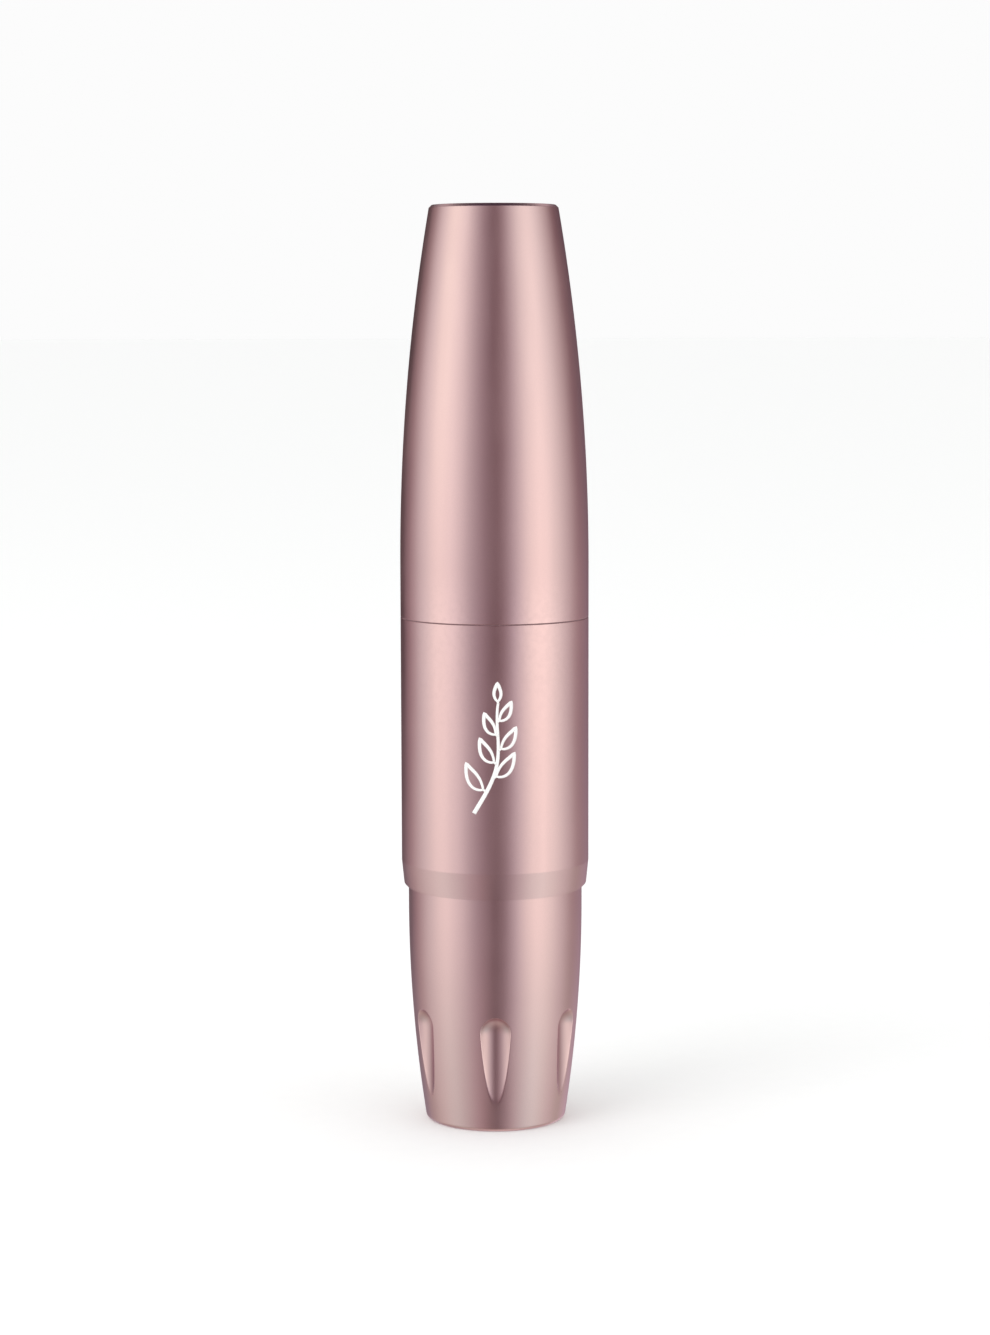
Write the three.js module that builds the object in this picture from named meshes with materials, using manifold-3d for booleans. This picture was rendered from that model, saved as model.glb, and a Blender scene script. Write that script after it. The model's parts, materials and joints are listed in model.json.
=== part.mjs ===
// A twist-up lipstick in a slim case of turned, satin-anodised aluminium.
// Millimetres, +Z up, origin at the middle of the foot that the case stands on.
//
// Turning the fluted base turns a slotted tube inside a tube with two spiral grooves. The carrier's
// lugs reach through the slots into the grooves, so the carrier, its cup and the lipstick rise.
import * as THREE from "three";
import { mergeVertices } from "three/addons/utils/BufferGeometryUtils.js";
import Module from "manifold-3d";

const wasm = await Module();
wasm.setup();

// ---------------------------------------------------------------- driving dimensions

// Outside of the case
const HEIGHT = 90.7;
const BODY_R = 9.3; // sleeve and foot of the cap
const SEAM_Z = 50.35; // top of the sleeve
const SEAM_GAP = 0.1;
const SEAM_EDGE = 0.03; // the edges on each side of the seam are only just broken
const CAP_ARC_Z = 55.6; // the cap is straight below this and curves in above it
const CAP_ARC_R = 206.4;
const CAP_CHAMFER = 0.28;
const STEP_Z = 23.42; // lower end of the sleeve, where it steps down to the base
const LIP_R = 9.065; // the sleeve narrows from its full radius to this at its bevelled lower lip
const LIP_Z = 23.84;
const TAPER_TOP_Z = 26.12;
const NECK_R = 8.63; // widest part of the base
const BASE_ARC_Z = 21.9; // the base is straight above this and curves in below it
const BASE_ARC_R = 141.9;
const FOOT_CORNER_R = 0.55;

// Finger flutes in the base, cut by a ball-nosed tool held parallel to the axis
const FLUTES = 6;
const FLUTE_TOOL_R = 2.1;
const FLUTE_FLOOR_R = 7.36; // distance of the flute's floor from the axis
const FLUTE_HEAD_Z = 9.97; // centre of the tool's ball at the top of its cut

// Twist mechanism
const LIFT = 24; // travel of the carrier
const LIFT_TURNS = 1.5; // turns of the base that it takes
const LUG_R = 1.0;
const LUG_Z = 31.6; // height of the lugs with the lipstick down
const GROOVE_HALF_WIDTH = 1.2;
const COLLAR_TOP = 65;

// Radii of the nested tubes, from the lipstick outwards
const LIPSTICK_R = 6.02;
const CUP_INNER_R = 6.08;
const CUP_R = 6.38;
const SLOTTED_INNER_R = 6.46;
const SLOTTED_R = 6.92;
const SPIRAL_INNER_R = 7.0;
const SPIRAL_R = 7.72;
const GROOVE_FLOOR_R = 7.42;
const COLLAR_INNER_R = 7.76;
const COLLAR_R = 8.06;
const CORE_INNER_R = 8.12;
const CORE_R = 8.66;
const SLEEVE_BORE_R = 8.72;

const AROUND = 36; // flats round each turned piece
const FIT = 0.05; // gap left between pieces that are pressed or glued together

// ---------------------------------------------------------------- materials

const metal = (color, roughness) => new THREE.MeshStandardMaterial({ color, roughness, metalness: 1 });
const plain = (color, roughness) => new THREE.MeshStandardMaterial({ color, roughness, metalness: 0 });

const roseAluminium = metal(0xc09a98, 0.38);
const polishedRose = metal(0xd8ab9e, 0.15);
const steel = metal(0xb4b6b8, 0.35);
const whiteAcetal = plain(0xe9e6df, 0.45);
const mauvePlastic = plain(0x8d6a6c, 0.5);
const darkSilicone = plain(0x4a3a40, 0.7);
const foam = plain(0x3b3b3d, 0.95);
const label = plain(0xf2ebe6, 0.8);
const lipstickWax = plain(0xa5354a, 0.35);

// ---------------------------------------------------------------- helpers

// How far a circle of this radius falls away from its tangent at this distance along it.
const fallAway = (distance, radius) => radius - Math.sqrt(radius ** 2 - distance ** 2);

// Outer radius of the base and of the cap at a height.
const baseRadius = (z) => NECK_R - fallAway(Math.max(0, BASE_ARC_Z - z), BASE_ARC_R);
const capRadius = (z) => BODY_R - fallAway(Math.max(0, z - CAP_ARC_Z), CAP_ARC_R);

// Points [r, z] of a curved outline, from one height to another.
function outline(radiusAt, from, to, steps) {
  const points = [];
  for (let i = 0; i <= steps; i++) {
    const z = from + ((to - from) * i) / steps;
    points.push([radiusAt(z), z]);
  }
  return points;
}

// A quarter circle of points [r, z] round a centre, from one angle to another in degrees.
function corner(r, z, radius, from, to, steps = 3) {
  const points = [];
  for (let i = 0; i <= steps; i++) {
    const angle = THREE.MathUtils.degToRad(from + ((to - from) * i) / steps);
    points.push([r + radius * Math.cos(angle), z + radius * Math.sin(angle)]);
  }
  return points;
}

// A piece turned about Z from its closed outline of [r, z], anticlockwise seen with r to the right.
function turned(points) {
  const onAxis = points[0][0] === 0 && points.at(-1)[0] === 0;
  const loop = onAxis ? points : [...points, points[0]];
  const geometry = new THREE.LatheGeometry(loop.map(([r, z]) => new THREE.Vector2(r, z)), AROUND);
  return geometry.rotateX(Math.PI / 2);
}

// A plain tube, or a disc where the inner radius is 0.
function tube(innerR, outerR, bottom, top) {
  return turned([
    [innerR, bottom],
    [outerR, bottom],
    [outerR, top],
    [innerR, top],
  ]);
}

// A closed geometry as a solid for booleans, and a solid back as a geometry.
function solid(geometry) {
  const bare = geometry.clone();
  bare.deleteAttribute("normal");
  bare.deleteAttribute("uv");
  const merged = mergeVertices(bare, 1e-4);
  return new wasm.Manifold(
    new wasm.Mesh({
      numProp: 3,
      vertProperties: merged.attributes.position.array,
      triVerts: new Uint32Array(merged.index.array),
    }),
  );
}

function geometryOf(made) {
  const mesh = made.getMesh();
  const geometry = new THREE.BufferGeometry();
  geometry.setAttribute("position", new THREE.BufferAttribute(mesh.vertProperties, 3));
  geometry.setIndex(new THREE.BufferAttribute(mesh.triVerts, 1));
  geometry.computeVertexNormals();
  return geometry;
}

// A band of rectangular section that climbs round Z like a thread, from one angle to another.
function helixBand({ innerR, outerR, halfHeight, startZ, pitch, from, to, steps }) {
  const position = [];
  const index = [];
  const section = [
    [innerR, -halfHeight],
    [outerR, -halfHeight],
    [outerR, halfHeight],
    [innerR, halfHeight],
  ];
  for (let i = 0; i <= steps; i++) {
    const turn = from + ((to - from) * i) / steps;
    const angle = THREE.MathUtils.degToRad(turn);
    for (const [r, rise] of section)
      position.push(r * Math.cos(angle), r * Math.sin(angle), startZ + (pitch * turn) / 360 + rise);
  }
  for (let i = 0; i < steps; i++)
    for (let k = 0; k < 4; k++) {
      const a = 4 * i + k;
      const b = 4 * i + ((k + 1) % 4);
      index.push(a, b + 4, b, a, a + 4, b + 4);
    }
  const end = 4 * steps;
  index.push(0, 1, 2, 0, 2, 3, end, end + 2, end + 1, end, end + 3, end + 2);
  const geometry = new THREE.BufferGeometry();
  geometry.setAttribute("position", new THREE.Float32BufferAttribute(position, 3));
  geometry.setIndex(index);
  return geometry;
}

const group = new THREE.Group();

function add(name, geometry, material) {
  const mesh = new THREE.Mesh(geometry, material);
  mesh.name = name;
  group.add(mesh);
}

// ---------------------------------------------------------------- base, turned by the fingers

const BASE_TOP = 25.2; // the base runs on inside the sleeve up to here
const BASE_BORE_R = 6.4;
const BASE_WIDE_BORE_R = 7.2;
const BASE_BORE_STEP_Z = 12.5;
const BASE_FLOOR_Z = 1.6;
const LABEL_RECESS_R = 5.7;
const LABEL_RECESS = 0.35;

function baseShell() {
  const footR = baseRadius(FOOT_CORNER_R) - FOOT_CORNER_R;
  const blank = solid(
    turned([
      [0, LABEL_RECESS],
      [LABEL_RECESS_R, LABEL_RECESS],
      [LABEL_RECESS_R, 0],
      ...corner(footR, FOOT_CORNER_R, FOOT_CORNER_R, -90, 0),
      ...outline(baseRadius, 2.6, BASE_ARC_Z, 6),
      [NECK_R, BASE_TOP - 0.2],
      [NECK_R - 0.2, BASE_TOP],
      [BASE_WIDE_BORE_R, BASE_TOP],
      [BASE_WIDE_BORE_R, BASE_BORE_STEP_Z],
      [BASE_BORE_R, BASE_BORE_STEP_Z],
      [BASE_BORE_R, BASE_FLOOR_Z],
      [0, BASE_FLOOR_Z],
    ]),
  );
  const toolLength = FLUTE_HEAD_Z + 4;
  let cut = blank;
  for (let i = 0; i < FLUTES; i++) {
    const angle = -Math.PI / 2 + (2 * Math.PI * i) / FLUTES;
    const tool = new THREE.CapsuleGeometry(FLUTE_TOOL_R, toolLength, 4, 20);
    tool.rotateX(Math.PI / 2);
    tool.translate(FLUTE_FLOOR_R + FLUTE_TOOL_R, 0, FLUTE_HEAD_Z - toolLength / 2);
    tool.rotateZ(angle);
    cut = cut.subtract(solid(tool));
  }
  return geometryOf(cut);
}

const WEIGHT_TOP = 8.6;
const PAD_TOP = 9.6;
const SOCKET_R = 5.25;
const SOCKET_FLOOR_Z = 13.6;

function baseWeight() {
  const bottom = BASE_FLOOR_Z + FIT;
  const outerR = BASE_BORE_R - 0.1;
  const holeR = 1.6;
  const chamfer = 0.4;
  return turned([
    [holeR, bottom],
    [outerR - chamfer, bottom],
    [outerR, bottom + chamfer],
    [outerR, WEIGHT_TOP - chamfer],
    [outerR - chamfer, WEIGHT_TOP],
    [holeR, WEIGHT_TOP],
  ]);
}

function baseInsert() {
  const plugR = BASE_BORE_R - 0.1;
  const bodyR = BASE_WIDE_BORE_R - 0.08;
  const shoulderZ = BASE_BORE_STEP_Z + FIT;
  const top = BASE_TOP - 0.1;
  return turned([
    [0, PAD_TOP + FIT],
    [plugR, PAD_TOP + FIT],
    [plugR, shoulderZ],
    [bodyR, shoulderZ],
    [bodyR, top],
    [SOCKET_R, top],
    [SOCKET_R, SOCKET_FLOOR_Z],
    [0, SOCKET_FLOOR_Z],
  ]);
}

add("base_shell", baseShell(), roseAluminium);
add("shade_label", tube(0, LABEL_RECESS_R - 0.15, LABEL_RECESS - 0.2, LABEL_RECESS - 0.02), label);
add("base_weight", baseWeight(), steel);
add("base_weight_pad", tube(0, BASE_BORE_R - 0.2, WEIGHT_TOP + FIT, PAD_TOP), foam);
add("base_insert", baseInsert(), mauvePlastic);

// ---------------------------------------------------------------- slotted tube, which turns with the base

const FLANGE_R = 8.3;
const FLANGE_BOTTOM = BASE_TOP + 0.1;
const FLANGE_TOP = 26.4;
const SPIRAL_BOTTOM = 27.45;
const LIP_TOP = 28.4; // the spiral tube's lip snaps into a neck under the slotted tube
const NECK_TOP = 28.6;
const SLOTTED_FLOOR_Z = 29.6;
const SLOTTED_TOP = 63.6;
const SLOT_WIDTH = 2.4;

function slottedTube() {
  const stemR = SOCKET_R - 0.08;
  const stemBoreR = 4.2;
  const stemBottom = SOCKET_FLOOR_Z + 0.4;
  const neckR = 6.55;
  const blank = turned([
    [0, 24],
    [stemBoreR, 24],
    [stemBoreR, stemBottom],
    [stemR, stemBottom],
    [stemR, FLANGE_BOTTOM],
    [FLANGE_R, FLANGE_BOTTOM],
    [FLANGE_R, FLANGE_TOP],
    [neckR, FLANGE_TOP],
    [neckR, NECK_TOP],
    [SLOTTED_R, NECK_TOP],
    [SLOTTED_R, SLOTTED_TOP],
    [SLOTTED_INNER_R, SLOTTED_TOP],
    [SLOTTED_INNER_R, SLOTTED_FLOOR_Z],
    [0, SLOTTED_FLOOR_Z],
  ]);
  const slotBottom = LUG_Z - LUG_R - 0.4;
  const slotTop = LUG_Z + LIFT + LUG_R + 0.6;
  const slots = new THREE.BoxGeometry(3 * SLOTTED_R, SLOT_WIDTH, slotTop - slotBottom);
  slots.translate(0, 0, (slotTop + slotBottom) / 2);
  return geometryOf(solid(blank).subtract(solid(slots)));
}

function torqueRing() {
  const section = 0.42;
  const ring = new THREE.TorusGeometry(7.4, section, 6, AROUND);
  return ring.translate(0, 0, (FLANGE_TOP + SPIRAL_BOTTOM) / 2);
}

add("slotted_tube", slottedTube(), whiteAcetal);
add("torque_ring", torqueRing(), darkSilicone);
add("glide_washer", tube(7.95, 8.6, FLANGE_TOP + 0.1, SPIRAL_BOTTOM - 0.15), whiteAcetal);

// ---------------------------------------------------------------- carrier, cup and lipstick, which rise

const CARRIER_BOTTOM = 29.8;
const CUP_BOTTOM = 33;
const CUP_TOP = 41;
const CUP_FLOOR = 0.4;
const LIPSTICK_TOP = 61.5;

function carrier() {
  const disc = solid(tube(0, CUP_R, CARRIER_BOTTOM, CUP_BOTTOM - FIT));
  const lugs = new THREE.CylinderGeometry(LUG_R, LUG_R, 2 * (GROOVE_FLOOR_R - 0.08), 16);
  lugs.rotateZ(Math.PI / 2);
  lugs.translate(0, 0, LUG_Z);
  return geometryOf(disc.add(solid(lugs)));
}

function cup() {
  return turned([
    [0, CUP_BOTTOM],
    [CUP_R, CUP_BOTTOM],
    [CUP_R, CUP_TOP],
    [CUP_INNER_R, CUP_TOP],
    [CUP_INNER_R, CUP_BOTTOM + CUP_FLOOR],
    [0, CUP_BOTTOM + CUP_FLOOR],
  ]);
}

// A round-nosed stick, cut across by a slanting flat that faces the front.
function lipstick() {
  const noseZ = 54.5; // where the nose starts to round in
  const noseReach = 8.2;
  const flatZ = 57.5; // where the flat crosses the axis
  const slant = THREE.MathUtils.degToRad(49);
  const facing = THREE.MathUtils.degToRad(-60);
  const noseRadius = (z) => LIPSTICK_R * Math.sqrt(1 - ((z - noseZ) / noseReach) ** 2);
  const stick = solid(
    turned([
      [0, CUP_BOTTOM + CUP_FLOOR + FIT],
      [LIPSTICK_R, CUP_BOTTOM + CUP_FLOOR + FIT],
      ...outline(noseRadius, noseZ, LIPSTICK_TOP, 5),
      [0, LIPSTICK_TOP],
    ]),
  );
  const knifeSize = 30;
  const knife = new THREE.BoxGeometry(knifeSize, knifeSize, knifeSize);
  knife.translate(0, 0, knifeSize / 2);
  knife.rotateY(slant);
  knife.translate(0, 0, flatZ);
  knife.rotateZ(facing);
  return geometryOf(stick.subtract(solid(knife)));
}

add("carrier", carrier(), whiteAcetal);
add("cup", cup(), polishedRose);
add("lipstick", lipstick(), lipstickWax);

// ---------------------------------------------------------------- sleeve, held in the other hand

const SPIRAL_TOP = 64;
const CORE_TOP = 49.5;
const SLEEVE_LIP = 0.75;

function spiralTube() {
  const lipR = 6.65;
  let tubeWithGrooves = solid(
    turned([
      [lipR, SPIRAL_BOTTOM],
      [SPIRAL_R, SPIRAL_BOTTOM],
      [SPIRAL_R, SPIRAL_TOP],
      [SPIRAL_INNER_R, SPIRAL_TOP],
      [SPIRAL_INNER_R, LIP_TOP],
      [lipR, LIP_TOP],
    ]),
  );
  const pitch = LIFT / LIFT_TURNS;
  const climb = Math.atan2(pitch, 2 * Math.PI * SPIRAL_INNER_R);
  const overrun = 15; // degrees past the lug at each end
  for (const start of [0, Math.PI]) {
    const groove = helixBand({
      innerR: SPIRAL_INNER_R - 0.2,
      outerR: GROOVE_FLOOR_R,
      halfHeight: GROOVE_HALF_WIDTH / Math.cos(climb),
      startZ: LUG_Z,
      pitch,
      from: -overrun,
      to: 360 * LIFT_TURNS + overrun,
      steps: (360 * LIFT_TURNS + 2 * overrun) / 10,
    });
    groove.rotateZ(start);
    tubeWithGrooves = tubeWithGrooves.subtract(solid(groove));
  }
  return geometryOf(tubeWithGrooves);
}

function collar() {
  const lipR = 6.62;
  const lipBottom = SPIRAL_TOP + 0.25;
  const roll = 0.45; // radius of the rolled outer edge
  return turned([
    [COLLAR_INNER_R, SPIRAL_BOTTOM + 0.25],
    [COLLAR_R, SPIRAL_BOTTOM + 0.25],
    ...corner(COLLAR_R - roll, COLLAR_TOP - roll, roll, 0, 90),
    [lipR + 0.12, COLLAR_TOP],
    [lipR, COLLAR_TOP - 0.12],
    [lipR, lipBottom],
    [COLLAR_INNER_R, lipBottom],
  ]);
}

function sleeveShell() {
  return turned([
    [SLEEVE_BORE_R, STEP_Z],
    [SLEEVE_BORE_R + 0.04, STEP_Z],
    [LIP_R, LIP_Z],
    [BODY_R, TAPER_TOP_Z],
    [BODY_R, SEAM_Z - SEAM_EDGE],
    [BODY_R - SEAM_EDGE, SEAM_Z],
    [CORE_INNER_R, SEAM_Z],
    [CORE_INNER_R, SEAM_Z - SLEEVE_LIP],
    [SLEEVE_BORE_R, SEAM_Z - SLEEVE_LIP],
  ]);
}

add("spiral_tube", spiralTube(), whiteAcetal);
add("collar", collar(), polishedRose);
add("sleeve_core", tube(CORE_INNER_R, CORE_R, SPIRAL_BOTTOM, CORE_TOP), mauvePlastic);
add("sleeve_shell", sleeveShell(), roseAluminium);
add("seat_washer", tube(8.16, BODY_R - FIT, SEAM_Z + 0.01, SEAM_Z + SEAM_GAP - 0.01), mauvePlastic);

// ---------------------------------------------------------------- cap, which pulls off upwards

const CAP_WALL = 0.5;
const LINER_WALL = 0.4;
const LINER_BORE_R = 8.15;
const LINER_TOP = 87.2;
const CAP_END_Z = HEIGHT - 1.3; // inside of the cap's closed end
const CAP_BOTTOM = SEAM_Z + SEAM_GAP;

const capBoreRadius = (z) => capRadius(z) - CAP_WALL;
const linerRadius = (z) => capBoreRadius(z) - FIT;
const linerBoreRadius = (z) => Math.min(LINER_BORE_R, linerRadius(z) - LINER_WALL);

function capShell() {
  const shoulderZ = HEIGHT - CAP_CHAMFER;
  return turned([
    [BODY_R - CAP_WALL, CAP_BOTTOM],
    [BODY_R - SEAM_EDGE, CAP_BOTTOM],
    [BODY_R, CAP_BOTTOM + SEAM_EDGE],
    ...outline(capRadius, CAP_ARC_Z, shoulderZ, 9),
    [capRadius(shoulderZ) - CAP_CHAMFER, HEIGHT],
    [0, HEIGHT],
    [0, CAP_END_Z],
    ...outline(capBoreRadius, CAP_END_Z, CAP_ARC_Z, 5),
  ]);
}

function capLiner() {
  const mouthZ = CAP_BOTTOM + 0.3;
  const endThickness = 0.7;
  const arcSteps = 5;
  return turned([
    [0, LINER_TOP - endThickness],
    ...outline(linerBoreRadius, LINER_TOP - endThickness, 64.5, arcSteps),
    [LINER_BORE_R, mouthZ + 0.3],
    [LINER_BORE_R + 0.15, mouthZ],
    [linerRadius(mouthZ), mouthZ],
    ...outline(linerRadius, CAP_ARC_Z, LINER_TOP, arcSteps),
    [0, LINER_TOP],
  ]);
}

add("cap_shell", capShell(), roseAluminium);
add("cap_liner", capLiner(), mauvePlastic);
add("cap_weight_pad", tube(0, 5.4, LINER_TOP + FIT, LINER_TOP + 0.6), foam);
add("cap_weight", tube(0, 5.8, LINER_TOP + 0.65, CAP_END_Z - 0.1), steel);

export default group;
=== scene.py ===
import json
import math

import bmesh
import bpy
from mathutils import Matrix, Vector


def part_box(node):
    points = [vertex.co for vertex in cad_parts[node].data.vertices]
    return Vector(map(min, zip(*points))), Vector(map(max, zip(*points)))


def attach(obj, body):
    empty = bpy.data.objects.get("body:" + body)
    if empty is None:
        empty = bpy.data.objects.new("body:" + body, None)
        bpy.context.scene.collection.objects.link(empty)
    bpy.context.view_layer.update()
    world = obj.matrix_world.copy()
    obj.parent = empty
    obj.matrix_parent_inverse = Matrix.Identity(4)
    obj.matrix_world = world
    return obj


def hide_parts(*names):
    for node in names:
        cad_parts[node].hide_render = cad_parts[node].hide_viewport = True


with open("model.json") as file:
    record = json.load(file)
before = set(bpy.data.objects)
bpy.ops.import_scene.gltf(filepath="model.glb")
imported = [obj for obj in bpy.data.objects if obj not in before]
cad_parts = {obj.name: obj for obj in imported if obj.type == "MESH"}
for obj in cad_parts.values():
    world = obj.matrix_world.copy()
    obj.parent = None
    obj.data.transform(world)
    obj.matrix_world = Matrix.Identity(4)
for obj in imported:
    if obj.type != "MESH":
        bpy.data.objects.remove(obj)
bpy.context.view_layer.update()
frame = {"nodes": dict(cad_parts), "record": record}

MM = 0.001

# ---------------- dimensions, millimetres


def heights(node):
    """Heights of the bottom and the top of a CAD node."""
    return [corner[2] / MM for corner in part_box(node)]


def outer_radius(node):
    """Radius of a turned CAD node."""
    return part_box(node)[1][1] / MM


CAP_BOTTOM, HEIGHT = heights("cap_shell")
SLEEVE_BOTTOM, SLEEVE_TOP = heights("sleeve_shell")
BASE_TOP = heights("base_shell")[1]
COLLAR_BOTTOM, COLLAR_TOP = heights("collar")
BODY_R = 9.3  # sleeve and widest part of the cap
SLEEVE_BORE_R = 8.72
CAP_ARC_Z = 55.6  # where the cap's curve starts
CAP_ARC_R = 206.4
CAP_CHAMFER = 0.28
CAP_WALL = 0.5
NECK_R = 8.63  # widest part of the base
BASE_ARC_Z = 21.9  # where the base's curve starts, going down
BASE_ARC_R = 141.9
FOOT_CORNER_R = 0.55
FLUTES = 6
FLUTE_TOOL_R = 2.1  # ball-nosed tool that cuts the flutes, held parallel to the case's axis
FLUTE_AXIS_R = 9.46  # distance of the tool's axis from the case's
FLUTE_HEAD_Z = 9.97  # centre of the tool's ball at the top of its cut
EDGE_BREAK = 0.05  # how far the flutes' edges are softened
CARRIER_R = 6.38  # the carrier and the cup slide inside the slotted tube
TINY = 1e-6


def fall_away(distance, radius):
    return radius - math.sqrt(radius * radius - distance * distance)


def base_radius(z):
    return NECK_R - fall_away(max(0.0, BASE_ARC_Z - z), BASE_ARC_R)


def cap_radius(z):
    return BODY_R - fall_away(max(0.0, z - CAP_ARC_Z), CAP_ARC_R)


def curve(radius_at, start, end, steps):
    """Points (r, z) of a curved outline from one height to another."""
    return [
        (radius_at(start + (end - start) * i / steps), start + (end - start) * i / steps)
        for i in range(steps + 1)
    ]


# ---------------- mesh helpers


def rounded(points, steps=4, support=0.03):
    """An outline with its corners (r, z, radius) rounded, and a support point each side of them."""
    out = []
    for i, point in enumerate(points):
        here = Vector(point[:2])
        if len(point) < 3:
            out.append(here)
            continue
        back = Vector(points[i - 1][:2]) - here
        ahead = Vector(points[(i + 1) % len(points)][:2]) - here
        room = min(back.length, ahead.length)
        back.normalize()
        ahead.normalize()
        half = back.angle(ahead) / 2
        radius = min(point[2], 0.45 * room * math.tan(half))
        cut = radius / math.tan(half)
        centre = here + (back + ahead).normalized() * radius / math.sin(half)
        start = here + back * cut - centre
        sweep = start.angle_signed(here + ahead * cut - centre)
        extra = min(support, 0.04 * room)
        out.append(here + back * (cut + extra))
        for k in range(steps + 1):
            turn = -sweep * k / steps
            out.append(centre + Matrix.Rotation(turn, 2) @ start)
        out.append(here + ahead * (cut + extra))
    return [(p[0], p[1]) for p in out]


def linked(name, data):
    """A new object of the scene with this mesh, light or camera."""
    made = bpy.data.objects.new(name, data)
    bpy.context.scene.collection.objects.link(made)
    return made


def new_object(name, verts, faces):
    """A smooth-shaded mesh object from points in millimetres."""
    mesh = bpy.data.meshes.new(name)
    mesh.from_pydata([tuple(c * MM for c in v) for v in verts], [], faces)
    mesh.polygons.foreach_set("use_smooth", [True] * len(mesh.polygons))
    mesh.update()
    return linked(name, mesh)


WELD = 0.001  # points closer than this after a cut become one
SHARP_FROM = math.radians(32)


def mesh_piece(name, verts, faces, body, nodes, material, cuts=(), additions=(), **marks):
    """A piece on a body and in place of CAD nodes, with solids cut out of it or added to it.

    Marks are lists of one value a point, which the material reads as attributes.
    """
    piece = new_object(name, verts, faces)
    tools = [("DIFFERENCE", *shape) for shape in cuts] + [("UNION", *shape) for shape in additions]
    if tools:
        helpers = []
        for operation, tool_verts, tool_faces in tools:
            helpers.append(new_object("tool", tool_verts, tool_faces))
            step = piece.modifiers.new("step", "BOOLEAN")
            step.operation = operation
            step.solver = "EXACT"
            step.object = helpers[-1]
        evaluated = piece.evaluated_get(bpy.context.evaluated_depsgraph_get())
        shaped = bpy.data.meshes.new_from_object(evaluated)
        piece.modifiers.clear()
        piece.data = shaped
        bm = bmesh.new()
        bm.from_mesh(shaped)
        bmesh.ops.remove_doubles(bm, verts=bm.verts[:], dist=WELD * MM)
        bm.to_mesh(shaped)
        bm.free()
        shaped.set_sharp_from_angle(angle=SHARP_FROM)
        for helper in helpers:
            bpy.data.objects.remove(helper)
    for mark, values in marks.items():
        piece.data.attributes.new(mark, "FLOAT", "POINT").data.foreach_set("value", values)
    piece.data.materials.clear()
    piece.data.materials.append(material)
    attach(piece, body)
    if nodes:
        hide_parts(*nodes)
    return piece


def ring_faces(faces, lower, upper):
    """Faces between two closed rings of point numbers, either of which may be a single point."""
    count = max(len(lower), len(upper))
    if count == 1:
        return
    for i in range(count):
        j = (i + 1) % count
        if len(lower) == 1:
            faces.append((lower[0], upper[j], upper[i]))
        elif len(upper) == 1:
            faces.append((lower[i], lower[j], upper[0]))
        else:
            faces.append((lower[i], lower[j], upper[j], upper[i]))


def turn_outline(verts, faces, outline, angles, first=None):
    """Adds the surface that an outline (r, z) sweeps round Z, and returns its last ring."""
    ring = first
    for r, z in outline:
        if r < TINY:
            verts.append((0.0, 0.0, z))
            made = [len(verts) - 1]
        else:
            made = list(range(len(verts), len(verts) + len(angles)))
            verts.extend((r * math.cos(a), r * math.sin(a), z) for a in angles)
        if ring:
            ring_faces(faces, ring, made)
        ring = made
    return ring


def turned_solid(outline, segments):
    """Points and faces of a solid of revolution whose outline (r, z) runs anticlockwise."""
    verts, faces = [], []
    last = turn_outline(verts, faces, outline, [math.tau * i / segments for i in range(segments)])
    if outline[0][0] > TINY:
        ring_faces(faces, last, list(range(segments)))
    return verts, faces


def nearness(point, r, z, reach):
    """1 at the circle of radius r at height z, falling to 0 at this reach from it."""
    return max(0.0, 1 - math.dist((math.hypot(point[0], point[1]), point[2]), (r, z)) / reach)


def turned(
    name, outline, body, nodes, material, segments=160, steps=4, worn_edge=None, **options
):
    """A turned piece from an outline (r, z, corner radius), which closes on itself.

    A worn edge is given as (r, z, reach) and marked for the material.
    """
    verts, faces = turned_solid(rounded(outline, steps), segments)
    if worn_edge:
        options["wear"] = [nearness(point, *worn_edge) for point in verts]
    return mesh_piece(name, verts, faces, body, nodes, material, **options)


def tube_outline(node, inner_r, edge):
    """The outline of a tube or disc with broken edges, as long and as wide as a CAD node."""
    bottom, top = heights(node)
    outer_r = outer_radius(node)
    corner = (edge,) if inner_r else ()
    return [
        (inner_r, bottom, *corner),
        (outer_r, bottom, edge),
        (outer_r, top, edge),
        (inner_r, top, *corner),
    ]


def round_outline(node, centre_r, steps=20):
    """The outline of a ring of round section, as high as a CAD node."""
    bottom, top = heights(node)
    radius = (top - bottom) / 2
    centre_z = bottom + radius
    angles = [math.tau * i / steps for i in range(steps)]
    return [(centre_r + radius * math.cos(a), centre_z + radius * math.sin(a)) for a in angles]


def stadium(half_width, bottom, top, steps=12):
    """An upright slot with round ends, as an outline (y, z)."""
    outline = []
    for z, start in ((bottom + half_width, math.pi), (top - half_width, 0.0)):
        for i in range(steps + 1):
            angle = start + math.pi * i / steps
            outline.append((half_width * math.cos(angle), z + half_width * math.sin(angle)))
    return outline


def prism(outline, half_length):
    """A straight bar along X with the outline (y, z), which runs anticlockwise."""
    count = len(outline)
    verts = [(x, y, z) for x in (-half_length, half_length) for y, z in outline]
    faces = [(i, (i + 1) % count, count + (i + 1) % count, count + i) for i in range(count)]
    return verts, faces + [tuple(reversed(range(count))), tuple(range(count, 2 * count))]


SPIRAL_STEP = 4  # degrees from one section of a spiral to the next


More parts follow.
